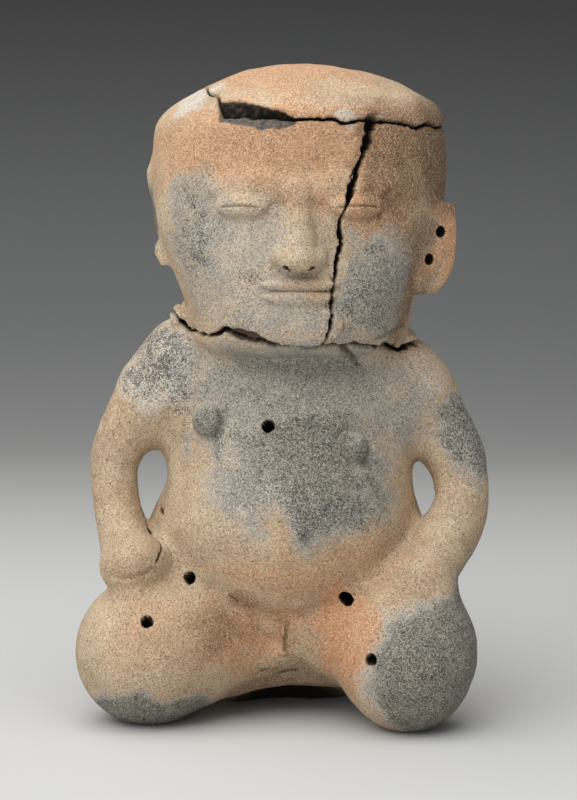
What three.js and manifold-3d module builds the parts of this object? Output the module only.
import * as THREE from "three";
import { MarchingCubes } from "three/addons/objects/MarchingCubes.js";
import { mergeVertices } from "three/addons/utils/BufferGeometryUtils.js";
import Module from "manifold-3d";

// A squat, hollow-built clay figure of a kneeling woman with her hands on her hips, broken and mended.
// Millimetres, +Z up. The figure faces -Y and rests on its knees and seat at Z = 0.

const wasm = await Module();
wasm.setup();

// Driving sizes
const HEIGHT = 260;
const FILLET = { chest: 14, belly: 18, hips: 12, seat: 20, thighs: 12, legs: 10, arms: 7, head: 5 };
const CENTRE = [0.25, 0];

// Head: a drum that widens upwards under a low dome
const HEAD = {
  axis: [6.5, 2],
  corner: 2.4,
  chin: 147,
  chinFillet: 10,
  rim: 3.5,
  dome: { at: [8.5, 3, HEIGHT - 64.4], radii: [79, 66, 64.4], lean: -1 },
  // Height, half width, half depth, and how far that level sits forward
  levels: [
    [140, 40, 32, -2],
    [152, 43, 36, -4],
    [166, 45.5, 39, -4],
    [182, 51, 41, -3],
    [200, 56.5, 42.5, -1.5],
    [220, 58.3, 43, 0],
    [240, 56.4, 43, 0],
    [262, 53, 40, 0],
  ],
};

// Trunk and legs: rounded masses, each a centre, three radii and a sideways lean in degrees
const TRUNK = {
  chest: { at: [2, 4, 118], radii: [50, 34, 34] },
  belly: { at: [2, -5, 80], radii: [50.5, 42, 41], lean: -6 },
  hips: { at: [1, 5, 62], radii: [59, 33, 38] },
  seat: { at: [0, 20, 34], radii: [54, 38, 36] },
};
// The hollow under the figure between its thighs: from the front it shows as a low dark arch
const HOLLOW = { at: [5, -4, -6], radii: [33, 28, 18.5], edge: 3 };
const SHOULDERS = [
  [-48, 5, 130, 18],
  [-38, 5, 141, 19],
  [-28, 5, 145, 19.5],
  [6, 3, 145, 21],
  [34, 4, 140, 20],
  [46, 5, 134, 19],
  [51.5, 5, 128, 18],
];
const LEGS = {
  left: { from: [-14, 2, 40, 26], to: [-52.5, -17, 28.8, 29.8] },
  right: { from: [16, -2, 40, 24], to: [44, -22, 36, 24] },
  rightKnee: { at: [49.5, -31, 30], radii: [27, 27, 31], lean: 3 },
  kneeFillet: 10,
};

// Arms: centre line and radius from the shoulder down to the wrist, then a mitten of a hand
const ARMS = {
  left: [
    [-47, 5, 128, 15],
    [-58, 3, 120, 12.5],
    [-65, 0, 109, 10.3],
    [-67.2, -2, 99, 9.3],
    [-66.6, -6, 88, 9.3],
    [-64, -11, 77, 9.8],
    [-61, -17, 68, 10.5],
  ],
  right: [
    [52, 5, 127, 15],
    [61.5, 3, 118, 13],
    [67.6, 0, 108, 12],
    [71.4, -3, 97, 11],
    [71.8, -7, 87, 10.8],
    [68, -12, 78, 11.3],
    [62, -19, 69, 11.8],
  ],
  leftHand: { at: [-58.8, -25, 65.5], radii: [13.5, 10, 10.5], lean: -20 },
  rightHand: { at: [55.5, -30, 60], radii: [13, 11, 12], lean: 30 },
  leftFillet: 5,
  rightFillet: 7,
  pointsPerSpan: 4,
};

// Applied clay. A pellet has a place across and up, and three radii: across, outwards and up
const FACE = {
  middle: HEAD.axis[0],
  eye: { apart: 44, up: 206, radii: [10.5, 3.4, 4.2], slit: [15, 2.4, 1] },
  nose: { brow: 214, foot: 187, browRadius: 3.4, footRadius: 8, lean: 6, round: 4.6 },
  wing: { apart: 14.6, up: 187.4, radii: [3.8, 5.6, 4.2] },
  nostril: { apart: 9, radius: 1.3, deep: 5 },
  lips: [
    { up: 176.6, radii: [15.5, 3, 2.5] },
    { up: 171.8, radii: [14.5, 3, 2.5] },
  ],
};
const PELLET_SIZE = 5;
const BREASTS = [
  { across: -29.2, up: 121.7, radii: [6.3, 5.2, 7] },
  { across: 27.6, up: 112, radii: [6, 4.8, 6.2] },
];
const NIPPLE = { across: -32.2, up: 120, radii: [2.6, 6.4, 2.4] };
const VULVA = { across: 0.2, up: 36, radii: [2.2, 1.8, 8.5] };
const NECK_LUMPS = [
  { at: [-41, -3, 160.5], radii: [3.6, 6, 5.4] },
  { at: [50.5, -3, 152], radii: [3.4, 7, 3.6] },
];

// Right ear: a flap of even thickness, flat on top and round below, with two holes for an ornament
const EAR = {
  root: [57, -18, 190],
  turn: 36,
  thick: 4.6,
  bevel: 1,
  out: 13.2,
  top: 16.5,
  topCorner: 1.4,
  bend: 2,
  foot: 19,
  holeRadius: 2.05,
  holes: [
    [4.6, 5.2],
    [-1.2, -5.4],
  ],
};

// Left ear: only its broken root is left. Outwards and up from the root, down the broken edge
const EAR_STUB = {
  root: [-48.5, -4, 203],
  turn: -28,
  thick: 5.2,
  bevel: 0.8,
  edge: [
    [1.4, 21],
    [4.6, 15.5],
    [4.2, 10],
    [2.2, 4],
    [1.4, -7],
    [-0.6, -10.6],
    [1.6, -13.4],
    [2.4, -17],
    [-1.2, -22],
  ],
};

// Holes poked in the wet clay: across and up the front, each driven in square to the surface
const VENT = { radius: 2.1, deep: 13, sides: 12 };
const VENTS = [
  [-5.6, 120.5],
  [-36.7, 59.8],
  [-52.6, 45],
  [24.5, 52.8],
  [34.2, 32.3],
];

// Breaks. Round the head and neck a stop is [degrees from the front, height], positive to the figure's left hand
const BREAK = { wide: 1.7, deep: 2.6, proud: 2 };
const NECK_BREAK = [
  [-100, 159],
  [-77, 157.5],
  [-58, 155.6],
  [-46, 156.3],
  [-40, 158],
  [-33, 155.6],
  [-14, 152.6],
  [13, 152.2],
  [28, 152.8],
  [40, 151],
  [52, 149.6],
  [70, 148.6],
  [84, 149.6],
  [108, 153],
  [135, 155.5],
  [160, 157.5],
  [185, 156],
  [212, 154.5],
  [238, 157.5],
];
const CROWN_BREAK = [
  [-42, 245],
  [-33, 246],
  [-20, 244.4],
  [-8, 242.2],
  [0, 239],
  [16, 240],
  [21, 237.8],
  [30, 239],
  [49, 237.6],
  [56, 236],
  [62, 237],
  [73, 235.6],
  [95, 237.5],
  [122, 239],
  [150, 236.5],
  [176, 238],
  [202, 240],
  [226, 238],
  [243, 243],
];
// Over the top of the crown, across and away from the front
const CROWN_TOP_BREAK = [
  [-33, 17],
  [-34, 5],
  [-29.8, -4],
  [-28, -14],
  [-26.4, -23],
];
// Down the face: across, height and width
const FACE_BREAK = [
  [34.6, 239, 5],
  [32.8, 228, 4.4],
  [28.6, 220.3, 3],
  [26.7, 214.5, 3.6],
  [24, 206.9, 1.6],
  [22.1, 202, 1.4],
  [22.5, 195.5, 2.4],
  [21.7, 189.8, 2.4],
  [19.5, 176.3, 1.8],
  [18.7, 166.6, 2.6],
  [17.6, 158.8, 2.4],
  [14.9, 152.6, 1.6],
];
// The flake lost from under the crown: across, height of its middle and its width
const CROWN_CHIP = [
  [-24, 242.4, 4],
  [-20, 242.6, 7.2],
  [-12, 241.6, 8.6],
  [-6, 240, 9.4],
  [1, 238.8, 6.4],
  [6.4, 238.2, 1.6],
];
// Flakes lost along the neck: [degrees, height, width] at each stop
const NECK_CHIPS = [
  [
    [-41, 158, 1.6],
    [-34, 157, 4.4],
    [-22, 155.4, 4],
    [-12, 153.4, 1.6],
  ],
  [
    [50, 150.4, 1.8],
    [62, 150.2, 4.2],
    [74, 149.8, 3.6],
    [82, 149.8, 1.8],
  ],
];

// The lattice that the smooth clay is faceted on: spans of [from, to, step], finer where the arms and hands are
const FACETS = 9400;
const THINNING = { rounds: 24, least: 1e-5, growth: 1.6, turn: 0.5, fatness: 0.03, shortest: 0.2 };
const LATTICE = {
  x: [
    [-92, -72, 6.7],
    [-72, -42, 5],
    [-42, 42, 7],
    [42, 78, 5.1],
    [78, 92, 7],
  ],
  y: [
    [-72, -48, 6],
    [-48, 0, 5.4],
    [0, 72, 7.2],
  ],
  z: [
    [-20, 48, 6.8],
    [48, 84, 5.2],
    [84, 140, 7],
    [140, 164, 5.2],
    [164, 276, 7],
  ],
  size: 54,
  leastDepth: 0.5,
  smoothing: 12,
};

// Depth of a point in a clay form: negative inside, near to the distance in mm outside

function massOf({ at, radii, lean = 0 }) {
  const cos = Math.cos(THREE.MathUtils.degToRad(lean));
  const sin = Math.sin(THREE.MathUtils.degToRad(lean));
  return ([x, y, z]) => {
    const dx = x - at[0];
    const dz = z - at[2];
    const u = (cos * dx - sin * dz) / radii[0];
    const v = (y - at[1]) / radii[1];
    const w = (sin * dx + cos * dz) / radii[2];
    const scaled = Math.hypot(u, v, w);
    const slope = Math.hypot(u / radii[0], v / radii[1], w / radii[2]) + 1e-9;
    return (scaled * (scaled - 1)) / slope;
  };
}

function limbAlong(points) {
  return (p) => {
    let nearest = Infinity;
    let radius = 0;
    for (let i = 0; i + 1 < points.length; i++) {
      const a = points[i];
      const b = points[i + 1];
      const run = [b[0] - a[0], b[1] - a[1], b[2] - a[2]];
      const off = [p[0] - a[0], p[1] - a[1], p[2] - a[2]];
      const along = (off[0] * run[0] + off[1] * run[1] + off[2] * run[2]) / (run[0] ** 2 + run[1] ** 2 + run[2] ** 2);
      const t = THREE.MathUtils.clamp(along, 0, 1);
      const gap = Math.hypot(off[0] - t * run[0], off[1] - t * run[1], off[2] - t * run[2]);
      if (gap < nearest) {
        nearest = gap;
        radius = a[3] + (b[3] - a[3]) * t;
      }
    }
    return nearest - radius;
  };
}

// A centre line with a radius at each point, drawn out into a smooth one
function smoothLine(stops, perSpan) {
  const centre = new THREE.CatmullRomCurve3(stops.map(([x, y, z]) => new THREE.Vector3(x, y, z)));
  const count = (stops.length - 1) * perSpan;
  return Array.from({ length: count + 1 }, (_, i) => {
    const t = i / count;
    const at = centre.getPoint(t);
    const span = Math.min(Math.floor(t * (stops.length - 1)), stops.length - 2);
    const part = t * (stops.length - 1) - span;
    return [at.x, at.y, at.z, THREE.MathUtils.lerp(stops[span][3], stops[span + 1][3], part)];
  });
}

// The lower of two depths, with a fillet where they meet
function blend(a, b, fillet) {
  const near = Math.max(fillet - Math.abs(a - b), 0);
  return Math.min(a, b) - (near * near) / (4 * fillet);
}

const overlap = (a, b, fillet) => -blend(-a, -b, fillet);

// Values of a table of levels at a height, by a smooth curve that never overshoots its stops
function levelAt(levels, height) {
  const z = THREE.MathUtils.clamp(height, levels[0][0], levels.at(-1)[0]);
  let i = 0;
  while (i < levels.length - 2 && z > levels[i + 1][0]) i++;
  const steep = (k, column) => (levels[k + 1][column] - levels[k][column]) / (levels[k + 1][0] - levels[k][0]);
  const slopeAt = (k, column) => {
    if (k === 0) return steep(0, column);
    if (k === levels.length - 1) return steep(k - 1, column);
    const before = steep(k - 1, column);
    const after = steep(k, column);
    return before * after > 0 ? (2 * before * after) / (before + after) : 0;
  };
  const rise = levels[i + 1][0] - levels[i][0];
  const t = (z - levels[i][0]) / rise;
  return levels[i].slice(1).map((from, k) => {
    const column = k + 1;
    const to = levels[i + 1][column];
    return (
      (2 * t ** 3 - 3 * t ** 2 + 1) * from +
      (t ** 3 - 2 * t ** 2 + t) * rise * slopeAt(i, column) +
      (3 * t ** 2 - 2 * t ** 3) * to +
      (t ** 3 - t ** 2) * rise * slopeAt(i + 1, column)
    );
  });
}

const dome = massOf(HEAD.dome);

function head(p) {
  const [halfWidth, halfDepth, forward] = levelAt(HEAD.levels, p[2]);
  const u = Math.abs(p[0] - HEAD.axis[0]) / halfWidth;
  const v = Math.abs(p[1] - HEAD.axis[1] - forward) / halfDepth;
  const around = (u ** HEAD.corner + v ** HEAD.corner) ** (1 / HEAD.corner);
  const side = (around - 1) * Math.min(halfWidth, halfDepth);
  return overlap(overlap(side, dome(p), HEAD.rim), HEAD.chin - p[2], HEAD.chinFillet);
}

const chest = massOf(TRUNK.chest);
const belly = massOf(TRUNK.belly);
const hips = massOf(TRUNK.hips);
const seat = massOf(TRUNK.seat);
const shoulders = limbAlong(SHOULDERS);

function trunk(p) {
  const upper = blend(chest(p), shoulders(p), FILLET.chest);
  const front = blend(upper, belly(p), FILLET.belly);
  return blend(blend(front, hips(p), FILLET.hips), seat(p), FILLET.seat);
}

const leftLeg = limbAlong([LEGS.left.from, LEGS.left.to]);
const rightLeg = limbAlong([LEGS.right.from, LEGS.right.to]);
const rightKnee = massOf(LEGS.rightKnee);
const legs = (p) => blend(leftLeg(p), blend(rightLeg(p), rightKnee(p), LEGS.kneeFillet), FILLET.thighs);

const leftArm = limbAlong(smoothLine(ARMS.left, ARMS.pointsPerSpan));
const rightArm = limbAlong(smoothLine(ARMS.right, ARMS.pointsPerSpan));
const leftHand = massOf(ARMS.leftHand);
const rightHand = massOf(ARMS.rightHand);

function arms(p) {
  const left = blend(leftArm(p), leftHand(p), ARMS.leftFillet);
  const right = blend(rightArm(p), rightHand(p), ARMS.rightFillet);
  return Math.min(left, right);
}

const hollow = massOf(HOLLOW);

// The whole of the smooth clay
function clay(p) {
  const body = overlap(blend(trunk(p), legs(p), FILLET.legs), -hollow(p), HOLLOW.edge);
  return blend(blend(body, arms(p), FILLET.arms), head(p), FILLET.head);
}

// Outward slope of the clay's depth at a point
function slopeOf(p) {
  const step = 0.2;
  return [0, 1, 2].map((axis) => {
    const ahead = [...p];
    const behind = [...p];
    ahead[axis] += step;
    behind[axis] -= step;
    return (clay(ahead) - clay(behind)) / (2 * step);
  });
}

function ontoClay(start) {
  let p = start;
  for (let round = 0; round < 3; round++) {
    const slope = slopeOf(p);
    const pull = clay(p) / (slope[0] ** 2 + slope[1] ** 2 + slope[2] ** 2 + 1e-9);
    p = p.map((value, axis) => value - pull * slope[axis]);
  }
  return p;
}

// Faceting

function linesOf(spans) {
  const lines = [spans[0][0]];
  for (const [from, to, step] of spans) {
    const count = Math.round((to - from) / step);
    for (let i = 1; i <= count; i++) lines.push(from + ((to - from) * i) / count);
  }
  return lines;
}

function facetClay() {
  const lines = [linesOf(LATTICE.x), linesOf(LATTICE.y), linesOf(LATTICE.z)];
  const size = LATTICE.size;
  const cubes = new MarchingCubes(size, new THREE.MeshBasicMaterial(), false, false, 20000);
  cubes.isolation = 0;
  cubes.field.fill(-1);
  lines[2].forEach((z, k) =>
    lines[1].forEach((y, j) =>
      lines[0].forEach((x, i) => {
        const depth = clay([x, y, z]);
        const kept = Math.sign(depth || 1) * Math.max(Math.abs(depth), LATTICE.leastDepth);
        cubes.field[i + 1 + (j + 1) * size + (k + 1) * size * size] = -kept;
      }),
    ),
  );
  cubes.update();

  // Each corner goes from lattice steps to millimetres
  const corners = new Float32Array(cubes.count * 3);
  for (let i = 0; i < corners.length; i++) {
    const half = size / 2;
    const raw = cubes.positionArray[i] * half + half;
    const near = Math.round(raw);
    const step = Math.abs(raw - near) < 1e-3 ? near : raw;
    const along = lines[i % 3];
    const low = THREE.MathUtils.clamp(Math.floor(step) - 1, 0, along.length - 2);
    corners[i] = along[low] + (step - 1 - low) * (along[low + 1] - along[low]);
  }
  const loose = new THREE.BufferGeometry();
  loose.setAttribute("position", new THREE.BufferAttribute(corners, 3));
  return evenOut(mergeVertices(loose, 1e-3));
}

// Moves each corner towards the middle of its neighbours and back onto the clay, which evens the facets
function evenOut(geometry) {
  const index = geometry.index.array;
  const position = geometry.getAttribute("position");
  const neighbours = Array.from({ length: position.count }, () => new Set());
  for (let i = 0; i < index.length; i += 3) {
    const corners = [index[i], index[i + 1], index[i + 2]];
    corners.forEach((a) => corners.forEach((b) => a !== b && neighbours[a].add(b)));
  }
  let points = neighbours.map((_, i) => [position.getX(i), position.getY(i), position.getZ(i)]);
  for (let round = 0; round < LATTICE.smoothing; round++) {
    points = points.map((p, i) => {
      const around = [...neighbours[i]];
      const middle = [0, 1, 2].map((axis) => around.reduce((sum, k) => sum + points[k][axis], 0) / around.length);
      return ontoClay(p.map((value, axis) => (value + middle[axis]) / 2));
    });
  }
  points.forEach((p, i) => position.setXYZ(i, ...p));
  return geometry;
}

// A geometry as a closed solid
function solid(geometry) {
  const bare = geometry.clone();
  bare.deleteAttribute("normal");
  bare.deleteAttribute("uv");
  const merged = mergeVertices(bare, 1e-4);
  const triVerts = new Uint32Array(merged.index.array);
  const vertProperties = new Float32Array(merged.getAttribute("position").array);
  const made = new wasm.Manifold(new wasm.Mesh({ numProp: 3, vertProperties, triVerts }));
  if (made.volume() > 0) return made;
  for (let i = 0; i < triVerts.length; i += 3) [triVerts[i], triVerts[i + 1]] = [triVerts[i + 1], triVerts[i]];
  return new wasm.Manifold(new wasm.Mesh({ numProp: 3, vertProperties, triVerts }));
}

// Thinning: takes out the edges whose loss moves the surface least, until few enough facets are left

// Squared distance from the planes of the facets about a corner, as the ten numbers of its symmetric form
function planesOf(points, [a, b, c]) {
  const corner = new THREE.Vector3(...points[a]);
  const side = new THREE.Vector3(...points[b]).sub(corner);
  const normal = side.cross(new THREE.Vector3(...points[c]).sub(corner));
  const area = normal.length();
  if (area > 0) normal.divideScalar(area);
  const plane = [normal.x, normal.y, normal.z, -normal.dot(corner)];
  const form = [];
  for (let i = 0; i < 4; i++) for (let j = i; j < 4; j++) form.push(area * plane[i] * plane[j]);
  return [...form, area];
}

function offPlanes(form, [x, y, z]) {
  const inner = form[0] * x * x + form[4] * y * y + form[7] * z * z + form[9];
  const cross = form[1] * x * y + form[2] * x * z + form[5] * y * z + form[3] * x + form[6] * y + form[8] * z;
  return Math.max(inner + 2 * cross, 0) / (form[10] + 1e-12);
}

const minus = (a, b) => [a[0] - b[0], a[1] - b[1], a[2] - b[2]];
const crossOf = (a, b) => [a[1] * b[2] - a[2] * b[1], a[2] * b[0] - a[0] * b[2], a[0] * b[1] - a[1] * b[0]];
const dotOf = (a, b) => a[0] * b[0] + a[1] * b[1] + a[2] * b[2];

// Twice the area over the square of the longest side: near 0 for a sliver
function shapeOf(a, b, c) {
  const normal = crossOf(minus(b, a), minus(c, a));
  const longest = Math.max(...[minus(b, a), minus(c, b), minus(a, c)].map((side) => dotOf(side, side)));
  return { normal, fatness: Math.sqrt(dotOf(normal, normal)) / (longest + 1e-12) };
}

function thinOut(points, faces, wanted) {
  const forms = points.map(() => new Array(11).fill(0));
  const around = points.map(() => new Set());
  faces.forEach((face, id) => {
    const form = planesOf(points, face);
    for (const corner of face) {
      around[corner].add(id);
      form.forEach((value, k) => (forms[corner][k] += value));
    }
  });
  const beside = (corner) => new Set([...around[corner]].flatMap((id) => faces[id]).filter((other) => other !== corner));

  // Whether the facets of one corner keep their way round and their shape when it moves to a place
  function staysSound(corner, other, place) {
    for (const id of around[corner]) {
      const face = faces[id];
      if (face.includes(other)) continue;
      const before = shapeOf(...face.map((k) => points[k]));
      const after = shapeOf(...face.map((k) => (k === corner ? place : points[k])));
      const turned = dotOf(before.normal, after.normal);
      const lengths = Math.sqrt(dotOf(before.normal, before.normal) * dotOf(after.normal, after.normal));
      if (turned < THINNING.turn * lengths) return false;
      if (after.fatness < THINNING.fatness && after.fatness < before.fatness) return false;
    }
    return true;
  }

  function collapse(kept, lost, place) {
    points[kept] = place;
    forms[lost].forEach((value, k) => (forms[kept][k] += value));
    for (const id of around[lost]) {
      const face = faces[id];
      if (face.includes(kept)) {
        for (const corner of face) if (corner !== lost) around[corner].delete(id);
        faces[id] = null;
        left -= 1;
        continue;
      }
      faces[id] = face.map((corner) => (corner === lost ? kept : corner));
      around[kept].add(id);
    }
    around[lost].clear();
  }

  let left = faces.length;
  for (let round = 0; round < THINNING.rounds; round++) {
    const allowed = THINNING.least * THINNING.growth ** round;
    for (let id = 0; id < faces.length; id++) {
      for (let k = 0; k < 3; k++) {
        if (!faces[id]) break;
        const kept = faces[id][k];
        const lost = faces[id][(k + 1) % 3];
        const run = minus(points[kept], points[lost]);
        const short = dotOf(run, run) < THINNING.shortest ** 2;
        if (left <= wanted && !short) continue;
        const form = forms[kept].map((value, i) => value + forms[lost][i]);
        const middle = points[kept].map((value, axis) => (value + points[lost][axis]) / 2);
        const choices = [points[kept], points[lost], middle].map((place) => [offPlanes(form, place), place]);
        const [off, place] = choices.sort((a, b) => a[0] - b[0])[0];
        if (off > allowed && !short) continue;
        const shared = [...beside(kept)].filter((corner) => beside(lost).has(corner));
        if (shared.length !== 2) continue;
        if (!staysSound(kept, lost, place) || !staysSound(lost, kept, place)) continue;
        collapse(kept, lost, [...place]);
      }
    }
  }
  return faces.filter(Boolean);
}

function thinnedGeometry(manifold) {
  const mesh = manifold.getMesh();
  const points = Array.from({ length: mesh.numVert }, (_, i) => Array.from(mesh.vertProperties.slice(3 * i, 3 * i + 3)));
  const faces = Array.from({ length: mesh.numTri }, (_, i) => Array.from(mesh.triVerts.slice(3 * i, 3 * i + 3)));
  const kept = thinOut(points, faces, FACETS);
  const loose = new THREE.BufferGeometry();
  loose.setAttribute("position", new THREE.BufferAttribute(new Float32Array(kept.flat().flatMap((i) => points[i])), 3));
  const geometry = mergeVertices(loose, 1e-5);
  geometry.computeVertexNormals();
  return geometry;
}

// The first point of the clay met along a straight way
function meet(start, towards) {
  const p = [...start];
  for (let step = 0; step < 400; step++) {
    const depth = clay(p);
    if (depth < 0.01) return p;
    for (let axis = 0; axis < 3; axis++) p[axis] += towards[axis] * Math.max(depth * 0.8, 0.02);
  }
  return p;
}

const onFront = (across, up) => meet([across, -140, up], [0, 1, 0]);
const onTop = (across, away) => meet([across, away, HEIGHT + 40], [0, 0, -1]);

function aroundHead(degrees, up) {
  const angle = THREE.MathUtils.degToRad(degrees);
  const way = [-Math.sin(angle), Math.cos(angle), 0];
  return meet([HEAD.axis[0] - 140 * way[0], HEAD.axis[1] - 140 * way[1], up], way);
}

// The way out of the clay at a point, with its directions across and up
function facing(at) {
  const out = new THREE.Vector3(...slopeOf(at)).normalize();
  const across = new THREE.Vector3(0, 0, 1).cross(out).normalize();
  const up = new THREE.Vector3().crossVectors(out, across);
  return { out, across, up };
}

// Applied clay

function ball(at, radii, basis) {
  const around = Math.max(...radii) > PELLET_SIZE ? 14 : 10;
  const geometry = new THREE.SphereGeometry(1, around, around / 2);
  geometry.scale(...radii);
  geometry.applyMatrix4(basis);
  geometry.translate(...at);
  return solid(geometry);
}

function pellet({ up, across = 0, radii }) {
  const at = onFront(across, up);
  const way = facing(at);
  return ball(at, radii, new THREE.Matrix4().makeBasis(way.across, way.out.negate(), way.up));
}

const atFace = (form, side = 0) => ({ ...form, across: FACE.middle + (side * (form.apart ?? 0)) / 2 });

// The nose: a wedge that widens and stands out towards its rounded foot
function nose() {
  const { brow, foot, browRadius, footRadius, lean, round } = FACE.nose;
  const wedge = new THREE.CylinderGeometry(browRadius, footRadius, brow - foot, 14);
  wedge.rotateX(Math.PI / 2 - THREE.MathUtils.degToRad(lean));
  const at = onFront(FACE.middle, (brow + foot) / 2);
  wedge.translate(...at);
  return solid(wedge).add(pellet(atFace({ up: foot, radii: [footRadius, footRadius + 2, round] })));
}

function facePellets() {
  const pairs = [-1, 1].flatMap((side) => [pellet(atFace(FACE.eye, side)), pellet(atFace(FACE.wing, side))]);
  return [nose(), ...pairs, ...FACE.lips.map((lip) => pellet(atFace(lip)))];
}

const onEar = (geometry, { root, turn }) => geometry.rotateZ(THREE.MathUtils.degToRad(turn)).translate(...root);

// Stands an outline, drawn outwards and up from the ear's root, on the side of the head
function earPlate(outline, ear) {
  const { thick, bevel } = ear;
  const edge = { bevelThickness: bevel, bevelSize: bevel, bevelOffset: -bevel, bevelSegments: 1 };
  const plate = new THREE.ExtrudeGeometry(outline, { depth: thick - 2 * bevel, curveSegments: 6, ...edge });
  plate.translate(0, 0, bevel - thick / 2);
  plate.rotateX(Math.PI / 2);
  return solid(onEar(plate, ear));
}

function rightEar() {
  const { out, top, topCorner, bend, foot, holeRadius } = EAR;
  const inset = 7;
  const outline = new THREE.Shape();
  outline.moveTo(-inset, top);
  outline.lineTo(out - topCorner, top);
  outline.quadraticCurveTo(out, top, out, top - topCorner);
  outline.lineTo(out, bend);
  outline.absellipse(0, bend, out, bend + foot, 0, -Math.PI / 2, true);
  outline.lineTo(-inset, -foot);
  const drills = EAR.holes.map(([across, up]) => {
    const drill = new THREE.CylinderGeometry(holeRadius, holeRadius, 4 * EAR.thick, VENT.sides);
    drill.translate(across, 0, up);
    return solid(onEar(drill, EAR));
  });
  return drills.reduce((made, drill) => made.subtract(drill), earPlate(outline, EAR));
}

function leftEarStub() {
  const inset = 8;
  const outline = new THREE.Shape();
  outline.moveTo(inset, EAR_STUB.edge[0][1]);
  EAR_STUB.edge.forEach(([out, up]) => outline.lineTo(-out, up));
  outline.lineTo(inset, EAR_STUB.edge.at(-1)[1]);
  return earPlate(outline, EAR_STUB);
}

// Cuts

function boredHole(at, radius, deep, way) {
  const drill = new THREE.CylinderGeometry(radius, radius, deep + 4, VENT.sides);
  drill.translate(0, 2 - deep / 2, 0);
  drill.applyQuaternion(new THREE.Quaternion().setFromUnitVectors(new THREE.Vector3(0, 1, 0), way));
  drill.translate(...at);
  return solid(drill);
}

function vent([across, up]) {
  const at = onFront(across, up);
  return boredHole(at, VENT.radius, VENT.deep, facing(at).out);
}

function nostril(side) {
  const { foot, footRadius, round } = FACE.nose;
  const at = onFront(FACE.middle + (side * FACE.nostril.apart) / 2, foot);
  at[1] -= footRadius * 0.7;
  at[2] -= round * 0.7;
  return boredHole(at, FACE.nostril.radius, FACE.nostril.deep, new THREE.Vector3(0, -1, -2).normalize());
}

function eyeSlit(side) {
  const { apart, up, radii, slit } = FACE.eye;
  const at = onFront(FACE.middle + (side * apart) / 2, up);
  const way = facing(at);
  const box = new THREE.BoxGeometry(slit[0], slit[1], slit[2]);
  box.applyMatrix4(new THREE.Matrix4().makeBasis(way.across, way.out.clone().negate(), way.up));
  box.translate(...way.out.multiplyScalar(radii[1]).add(new THREE.Vector3(...at)).toArray());
  return solid(box);
}

// A gash along the surface. Each stop has its place, its width and its depth at either side; the floor is narrower
function gash(stops, closed = false) {
  const count = stops.length;
  const corners = [];
  const beside = (i) => (closed ? (i + count) % count : THREE.MathUtils.clamp(i, 0, count - 1));
  stops.forEach(({ at, wide = BREAK.wide, deep = [BREAK.deep, BREAK.deep] }, i) => {
    const { out } = facing(at);
    const along = new THREE.Vector3(...stops[beside(i + 1)].at).sub(new THREE.Vector3(...stops[beside(i - 1)].at));
    const across = along.cross(out).normalize().multiplyScalar(wide / 2);
    const section = [
      [1, BREAK.proud],
      [-1, BREAK.proud],
      [-0.6, -deep[1]],
      [0.6, -deep[0]],
    ];
    for (const [side, height] of section) {
      const corner = new THREE.Vector3(...at).addScaledVector(across, side).addScaledVector(out, height);
      corners.push(...corner.toArray());
    }
  });
  const index = [];
  const quad = (a, b, c, d) => index.push(a, b, c, a, c, d);
  for (let i = 0; i < (closed ? count : count - 1); i++) {
    const next = (i + 1) % count;
    for (let k = 0; k < 4; k++) {
      const after = (k + 1) % 4;
      quad(4 * i + k, 4 * next + k, 4 * next + after, 4 * i + after);
    }
  }
  if (!closed) {
    const last = 4 * (count - 1);
    quad(0, 1, 2, 3);
    quad(last + 3, last + 2, last + 1, last);
  }
  const geometry = new THREE.BufferGeometry();
  geometry.setAttribute("position", new THREE.BufferAttribute(new Float32Array(corners), 3));
  geometry.setIndex(index);
  return solid(geometry);
}

function breaks() {
  const neck = gash(NECK_BREAK.map(([degrees, up]) => ({ at: aroundHead(degrees, up) })), true);
  const round = CROWN_BREAK.map(([degrees, up]) => ({ at: aroundHead(degrees, up) }));
  const over = CROWN_TOP_BREAK.map(([across, away]) => ({ at: onTop(across, away) }));
  const face = FACE_BREAK.map(([across, up, wide]) => ({ at: onFront(across, up), wide, deep: [4, 4] }));
  const crownChip = CROWN_CHIP.map(([across, up, wide]) => ({ at: onFront(across, up), wide, deep: [4.6, 1.4] }));
  const neckChips = NECK_CHIPS.map((stops) =>
    gash(stops.map(([degrees, up, wide]) => ({ at: aroundHead(degrees, up), wide, deep: [2, 1.2] }))),
  );
  return [neck, gash([...round, ...over], true), gash(face), gash(crownChip), ...neckChips];
}

function ground() {
  const block = new THREE.BoxGeometry(400, 400, 40);
  block.translate(0, 0, -20);
  return solid(block);
}

function makeFigure() {
  const onLumps = NECK_LUMPS.map(({ at, radii }) => ball(at, radii, new THREE.Matrix4()));
  const applied = [
    ...facePellets(),
    ...BREASTS.map(pellet),
    pellet(NIPPLE),
    pellet(VULVA),
    ...onLumps,
    rightEar(),
    leftEarStub(),
  ];
  const cuts = [...VENTS.map(vent), ...[-1, 1].flatMap((side) => [nostril(side), eyeSlit(side)]), ...breaks(), ground()];
  const whole = applied.reduce((made, piece) => made.add(piece), solid(facetClay()));
  const cut = cuts.reduce((made, tool) => made.subtract(tool), whole);

  // The breaks cut crumbs loose where they cross: only the figure itself is kept
  const [figure] = cut.decompose().sort((a, b) => b.volume() - a.volume());
  return figure.translate([-CENTRE[0], -CENTRE[1], 0]);
}

const ceramic = new THREE.MeshStandardMaterial({ color: 0xb79a80, roughness: 0.9, metalness: 0 });
const figure = new THREE.Mesh(thinnedGeometry(makeFigure()), ceramic);
figure.name = "figure";

const root = new THREE.Group();
root.add(figure);

export default root;
